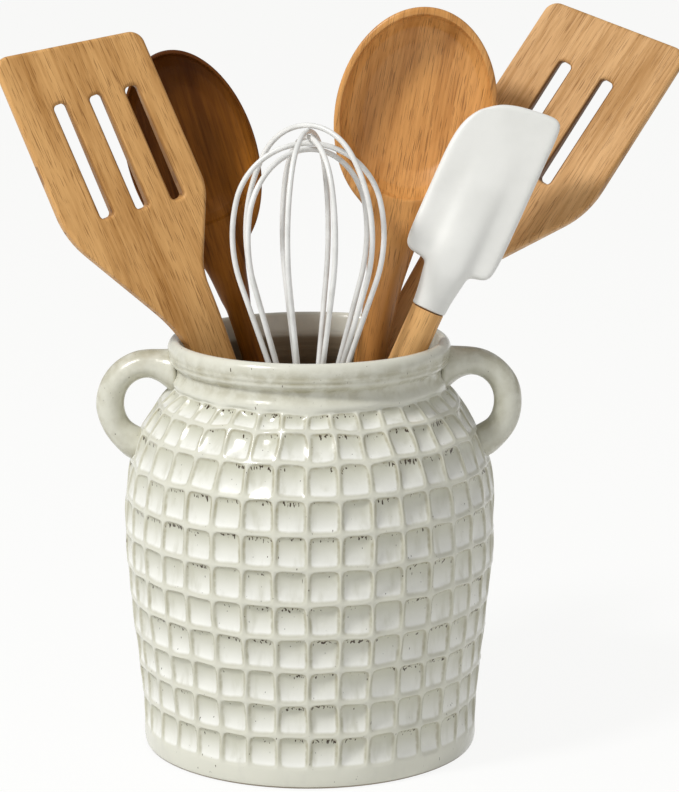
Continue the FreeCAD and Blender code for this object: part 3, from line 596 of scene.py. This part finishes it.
stand = standing("three_slot_turner", "three_slot_turner", THREE_SLOT_TWIST)
left_beech = wood_material("left_beech", stand, BEECH_LIGHT, BEECH_DARK, BEECH_FLECK, 0.6)
paint_slot_shade(left_beech, "three_slot_turner", stand, THREE_SLOT_ROW)
dress("three_slot_turner", left_beech)
stand = standing("two_slot_turner", "two_slot_turner", TWO_SLOT_TWIST)
right_beech = wood_material("right_beech", stand, PALE_BEECH_LIGHT, PALE_BEECH_DARK, BEECH_FLECK, 0.5)
paint_slot_shade(right_beech, "two_slot_turner", stand, TWO_SLOT_ROW)
dress("two_slot_turner", right_beech)

# Spoons: each carved from one piece of wood, the dish hollowed with a crisp lip and the handle
# turned. One is pale beech and broad, the other is stained brown and narrower.
LIGHT_SPOON = {
    "half_wide": 0.0325, "half_long": 0.0455, "lip": 0.93, "dish_foot": 0.85, "rim": -0.003,
    "dish": 0.0135, "back": 0.0125, "heel": (0.0102, 0.0085), "neck": 0.0071, "foot": 0.0057,
    "neck_height": 0.174}
DARK_SPOON = {
    "half_wide": 0.0265, "half_long": 0.0465, "lip": 0.965, "dish_foot": 0.68, "rim": -0.0025,
    "dish": 0.0105, "back": 0.0105, "heel": (0.0074, 0.0064), "neck": 0.0052, "foot": 0.0045,
    "neck_height": 0.1715}
DISH_STEPS = ((0.97, 0.26), (0.87, 0.58), (0.69, 0.84), (0.45, 0.97), (0.2, 1.0))
BACK_STEPS = ((1.0, 0.16), (0.97, 0.38), (0.86, 0.66), (0.66, 0.88), (0.42, 0.98), (0.18, 1.02))
LIP_CREASE = 0.55
BOWL_SIDES = 32
HANDLE_FACES = 4
SIDE_SMOOTHED = 0.001
END_SMOOTHED = -0.0006


def push_faces(bm, faces):
    """The same faces pushed out of the mesh once more, with walls behind them."""
    made = bmesh.ops.extrude_face_region(bm, geom=faces)["geom"]
    bmesh.ops.delete(bm, geom=faces, context="FACES_KEEP_BOUNDARY")
    return picked(made, bmesh.types.BMFace)


def round_section(faces, height, half_wide, half_deep):
    """Sets the corners of a handle's section on an oval at a height."""
    verts = sorted(corners(faces), key=lambda vert: vert.co.x)
    middle = middle_of(verts)
    front = [vert for vert in verts if vert.co.y < middle.y]
    back = [vert for vert in verts if vert not in front]
    for row, sign in ((front, -1), (back, 1)):
        for index, vert in enumerate(row):
            angle = math.pi * (index + 0.5) / len(row)
            vert.co = (-half_wide * math.cos(angle), sign * half_deep * math.sin(angle), height)


def carve_spoon(name, sizes, length, stand):
    bm = bmesh.new()
    crease = bm.edges.layers.float.new("crease_edge")
    bowl_middle = Vector((0, 0, length - sizes["half_long"]))
    half_long = sizes["half_long"] + END_SMOOTHED
    rim = bmesh.ops.create_circle(bm, cap_ends=True, segments=BOWL_SIDES, radius=1)["verts"]
    bmesh.ops.rotate(bm, matrix=Matrix.Rotation(math.radians(90), 3, "X"), verts=rim)
    bmesh.ops.scale(bm, vec=(sizes["half_wide"] + SIDE_SMOOTHED, 1, half_long), verts=rim)
    bmesh.ops.translate(bm, vec=(0, sizes["rim"], bowl_middle.z), verts=rim)
    ring_edges = open_edges(rim)

    def shape_ring(verts, ratio, push):
        bmesh.ops.scale(bm, vec=(ratio, 1, ratio), space=Matrix.Translation(-bowl_middle), verts=verts)
        bmesh.ops.translate(bm, vec=(0, push, 0), verts=verts)

    lip = sizes["lip"]
    dish = bm.faces[:]
    last_share, last_depth = 1, 0
    for share, depth in [(lip, 0)] + [(share * lip, depth) for share, depth in DISH_STEPS]:
        dish = push_faces(bm, dish)
        verts = corners(dish)
        shape_ring(verts, share / last_share, (depth - last_depth) * sizes["dish"])
        if share == lip:
            for vert in verts:
                reach = vert.co.z - bowl_middle.z
                vert.co.z = max(vert.co.z, bowl_middle.z + reach * sizes["dish_foot"])
            for edge in dish[0].edges:
                edge[crease] = LIP_CREASE
        last_share, last_depth = share, depth
    bmesh.ops.poke(bm, faces=dish)

    side_faces = []
    last_share, last_depth = 1, 0
    for share, depth in BACK_STEPS:
        verts, ring_edges, between = pull_ring(bm, ring_edges)
        side_faces = side_faces or between
        push = (depth - last_depth) * (sizes["back"] - sizes["rim"])
        shape_ring(verts, share / last_share, push)
        last_share, last_depth = share, depth
    bmesh.ops.poke(bm, faces=bmesh.ops.contextual_create(bm, geom=ring_edges)["faces"])

    side_faces.sort(key=lambda face: face.calc_center_median().z)
    handle = side_faces[:HANDLE_FACES]
    bowl_foot = bowl_middle.z - half_long
    neck, foot, neck_height = sizes["neck"], sizes["foot"], sizes["neck_height"]
    heel_wide, heel_deep = sizes["heel"]
    sections = (
        (bowl_foot - 0.006, heel_wide * 1.12, heel_deep * 1.05),
        (bowl_foot - 0.018, heel_wide * 0.92, heel_deep),
        ((bowl_foot + neck_height) / 2 - 0.006, (heel_wide + neck) * 0.46, (heel_deep + neck) * 0.48),
        (neck_height, neck, neck),
        (neck_height / 2, (neck + foot) / 2, (neck + foot) / 2),
        (0.012, foot, foot),
        (0.0035, foot, foot),
        (0.0004, foot * 0.86, foot * 0.86),
        (0, foot * 0.5, foot * 0.5))
    for section in sections:
        handle = push_faces(bm, handle)
        round_section(handle, *section)
    bmesh.ops.recalc_face_normals(bm, faces=bm.faces)
    bmesh.ops.transform(bm, matrix=stand, verts=bm.verts)
    return finish_piece(name, bm, 3)


SPOON_LIGHT = (0.75, 0.38, 0.119, 1)
SPOON_DARK = (0.48, 0.208, 0.05, 1)
# The light spoon's handle is darker below the bowl: darker wood, and painted shadow where the spatula and
# the utensils in front shade it.
HANDLE_STAIN_AND_SHADE = (0.225, 0.18, 0.85)
WALNUT_LIGHT = (0.34, 0.125, 0.014, 1)
WALNUT_DARK = (0.075, 0.019, 0.001, 1)
WALNUT_FLECK = (0.05, 0.014, 0.001, 1)
# The dark spoon's bowl darkens towards its tip: stain, and painted shadow where the three-slot turner
# shades its top.
TIP_STAIN_AND_SHADE = (0.21, 0.31, 1)
DARK_TWIST = 6
light_stand = standing("light_spoon", "light_spoon", 0)
dark_stand = standing("dark_spoon", "dark_spoon", DARK_TWIST)
light_wood = wood_material(
    "spoon_beech", light_stand, SPOON_LIGHT, SPOON_DARK, BEECH_FLECK, 0.6, 0.5, HANDLE_STAIN_AND_SHADE)
brown_wood = wood_material(
    "stained_brown", dark_stand, WALNUT_LIGHT, WALNUT_DARK, WALNUT_FLECK, 0.3, 0, TIP_STAIN_AND_SHADE)
for node, sizes, stand, material, slot in (
        ("light_spoon", LIGHT_SPOON, light_stand, light_wood, "beech"),
        ("dark_spoon", DARK_SPOON, dark_stand, brown_wood, "walnut")):
    piece = carve_spoon("carved_" + node, sizes, length_along(node, node), stand)
    piece.data.materials.append(material)
    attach(piece, node)
    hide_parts(node)

# Whisk: five loops of steel wire coated in white plastic, their ends set in a plug at the top
# of a turned beech handle that stands hidden in the crock.
COAT_WHITE = (0.80, 0.80, 0.775, 1)
COAT_GREY = (0.68, 0.68, 0.65, 1)
wire_coat, tree, shader = new_material("wire_coat")
place = object_place(tree)
patches = noise_node(tree, place, 140, 3)
feed(tree, shader, {
    "Base Color": mix_colour(tree, step_node(tree, patches, 0.35, 0.8), COAT_WHITE, COAT_GREY),
    "Roughness": plus(tree, times(tree, patches, 0.2), 0.2)})
bump_normal(tree, shader, noise_node(tree, place, 900, 2), 0.0002, 0.2)
for node in nodes:
    if node.startswith("whisk_wire") or node == "whisk_plug":
        dress(node, wire_coat)
stand = standing("whisk_handle", "whisk", 0)
dress("whisk_handle", wood_material("whisk_beech", stand, BEECH_LIGHT, BEECH_DARK, BEECH_FLECK, 0.6))

# Spatula: a soft white silicone head, moulded with a raised spine and a round neck, pushed on
# to the tenon of a turned beech handle.
HANDLE_LIGHT = (0.82, 0.475, 0.19, 1)
HANDLE_DARK = (0.53, 0.26, 0.08, 1)
stand = standing("spatula_handle", "spatula", 0)
dress("spatula_handle", wood_material("spatula_beech", stand, HANDLE_LIGHT, HANDLE_DARK, BEECH_FLECK, 0.5))

NECK_FOOT = 0.1963
NECK_RADIUS = 0.0077
BLADE_FOOT = 0.0185
BLADE_LEFT = -0.0205
BLADE_RIGHT = 0.0193
BLADE_TOP = 0.0928
BLADE_ROOT_HALF = 0.0034
BLADE_THINS = 0.0014
TOP_SLOPE = 0.11
CORNER_ROUNDS = ((-1, 1, 0.022), (1, 1, 0.0055), (1, -1, 0.0075), (-1, -1, 0.0065))
CORNER_HOLD = 0.0045
SPINE_HALF = 0.006
SPINE_FOOT_HALF = 0.0095
SPINE_TOP = 0.068
SPINE_RISE = 0.0048
SPINE_SHOULDER = 0.86
NECK_RINGS = (
    (0.0145, 0.0096, 0.0086), (0.0095, 0.0086, 0.0082), (0.003, NECK_RADIUS, NECK_RADIUS),
    (0.0006, NECK_RADIUS, NECK_RADIUS), (0, NECK_RADIUS * 0.93, NECK_RADIUS * 0.93))
bm = bmesh.new()
bmesh.ops.create_cube(bm, size=1)
blade_long = BLADE_TOP - BLADE_FOOT
blade_middle = ((BLADE_LEFT + BLADE_RIGHT) / 2, 0, (BLADE_FOOT + BLADE_TOP) / 2)
bmesh.ops.scale(bm, vec=(BLADE_RIGHT - BLADE_LEFT, 1, blade_long), verts=bm.verts)
bmesh.ops.translate(bm, vec=blade_middle, verts=bm.verts)
side_cuts = (
    BLADE_LEFT + CORNER_HOLD, -SPINE_FOOT_HALF, -SPINE_HALF, 0,
    SPINE_HALF, SPINE_FOOT_HALF, BLADE_RIGHT - CORNER_HOLD)
height_cuts = (
    BLADE_FOOT + CORNER_HOLD, 0.034, 0.046, 0.058, SPINE_TOP, 0.079, BLADE_TOP - CORNER_HOLD)
cuts = [(Vector((cut, 0, 0)), Vector((1, 0, 0))) for cut in side_cuts]
cuts += [(Vector((0, 0, cut)), Vector((0, 0, 1))) for cut in height_cuts]
for point, normal in cuts:
    everything = bm.verts[:] + bm.edges[:] + bm.faces[:]
    bmesh.ops.bisect_plane(bm, geom=everything, plane_co=point, plane_no=normal)
neck = [
    face for face in bm.faces
    if face.normal.z < -0.9 and abs(face.calc_center_median().x) < SPINE_FOOT_HALF]
for vert in bm.verts:
    side = math.copysign(1, vert.co.y)
    up = (vert.co.z - BLADE_FOOT) / blade_long
    half = BLADE_ROOT_HALF - BLADE_THINS * up
    if abs(vert.co.x) < SPINE_HALF + 0.0001:
        rise = max(0, 1 - vert.co.z / SPINE_TOP)
        crest = 1 if abs(vert.co.x) < 0.001 else SPINE_SHOULDER
        half += SPINE_RISE * rise ** 0.8 * crest
    vert.co.y = side * half
    for across, upward, radius in CORNER_ROUNDS:
        corner_side = BLADE_RIGHT if across > 0 else BLADE_LEFT
        corner_end = BLADE_TOP if upward > 0 else BLADE_FOOT
        centre = Vector((corner_side - across * radius, corner_end - upward * radius))
        reach = Vector((vert.co.x, vert.co.z)) - centre
        if reach.x * across > 0 and reach.y * upward > 0 and reach.length > radius:
            vert.co.x, vert.co.z = centre + reach * (radius / reach.length)
    vert.co.z -= TOP_SLOPE * up * max(0, BLADE_RIGHT - vert.co.x)
for ring in NECK_RINGS:
    neck = push_faces(bm, neck)
    round_section(neck, *ring)
bmesh.ops.translate(bm, vec=(0, 0, NECK_FOOT), verts=bm.verts)
bmesh.ops.recalc_face_normals(bm, faces=bm.faces)
bmesh.ops.transform(bm, matrix=stand, verts=bm.verts)
head = finish_piece("silicone_head", bm, 3)
SILICONE_WHITE = (0.85, 0.85, 0.81, 1)
SILICONE_SHADE = (0.78, 0.78, 0.74, 1)
silicone, tree, shader = new_material("white_silicone")
place = object_place(tree)
cloud = noise_node(tree, place, 45, 3)
feed(tree, shader, {
    "Base Color": mix_colour(tree, step_node(tree, cloud, 0.3, 0.8), SILICONE_WHITE, SILICONE_SHADE),
    "Roughness": plus(tree, times(tree, cloud, 0.1), 0.42)})
bump_normal(tree, shader, noise_node(tree, place, 1500, 2), 0.0001, 0.15)
head.data.materials.append(silicone)
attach(head, "spatula_head")
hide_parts("spatula_head")

# Studio: a plain white floor under soft light from a lamp at the upper left and a weaker one at
# the right, and a camera at the photograph's angle.
FLOOR_HALF = 6
FLOOR_PALE = (0.86, 0.86, 0.855, 1)
FLOOR_WHITE = (1, 1, 0.99, 1)
FLOOR_WHITE_SHARE = 0.9
floor_bm = bmesh.new()
bmesh.ops.create_grid(floor_bm, x_segments=1, y_segments=1, size=FLOOR_HALF)
floor = finish_piece("floor", floor_bm, 0)
floor_paint, tree, shader = new_material("floor_paint")
feed(tree, shader, {"Base Color": FLOOR_PALE, "Roughness": 0.9})
white = add_node(tree, "ShaderNodeEmission", {"Color": FLOOR_WHITE, "Strength": 1.0})
rays = add_node(tree, "ShaderNodeLightPath").outputs
seen = math_node(tree, "MAXIMUM", rays["Is Camera Ray"], rays["Is Glossy Ray"])
seen = times(tree, seen, FLOOR_WHITE_SHARE)
blend = add_node(tree, "ShaderNodeMixShader", {0: seen, 1: shader.outputs[0], 2: white.outputs[0]})
feed(tree, tree.nodes["Material Output"], {"Surface": blend.outputs[0]})
floor.data.materials.append(floor_paint)

WORLD_STRENGTH = 0.42
world = bpy.data.worlds.new("studio")
bpy.context.scene.world = world
world.use_nodes = True
tree = world.node_tree
rays = add_node(tree, "ShaderNodeLightPath").outputs
seen = math_node(tree, "MAXIMUM", rays["Is Camera Ray"], rays["Is Transmission Ray"])
strength = add_node(tree, "ShaderNodeMix", {0: seen, 2: WORLD_STRENGTH, 3: 1.0}, data_type="FLOAT")
feed(tree, tree.nodes["Background"], {"Color": (1, 1, 1, 1), "Strength": strength.outputs[0]})


def soft_lamp(name, place, target, size, power):
    lamp = bpy.data.lights.new(name, "AREA")
    lamp.shape = "RECTANGLE"
    lamp.size = size
    lamp.size_y = size
    lamp.energy = power
    holder = bpy.data.objects.new(name, lamp)
    holder.location = place
    holder.rotation_euler = (Vector(target) - Vector(place)).to_track_quat("-Z", "Y").to_euler()
    bpy.context.scene.collection.objects.link(holder)


soft_lamp("key", (-0.95, -0.75, 1.45), (0, 0, 0.15), 0.28, 23)
soft_lamp("fill", (1.1, -1.3, 0.8), (0, 0, 0.12), 0.9, 1.5)

CAMERA_PLACE = (0.01254, -1.24807, 0.41978)
CAMERA_PITCH = math.radians(90 - 12.289)
CAMERA_LENS = 139.53
camera = bpy.data.objects.new("camera", bpy.data.cameras.new("camera"))
camera.location = CAMERA_PLACE
camera.rotation_euler = (CAMERA_PITCH, 0, 0)
camera.data.lens = CAMERA_LENS
bpy.context.scene.collection.objects.link(camera)
bpy.context.scene.camera = camera
bpy.context.scene.view_settings.view_transform = "Standard"
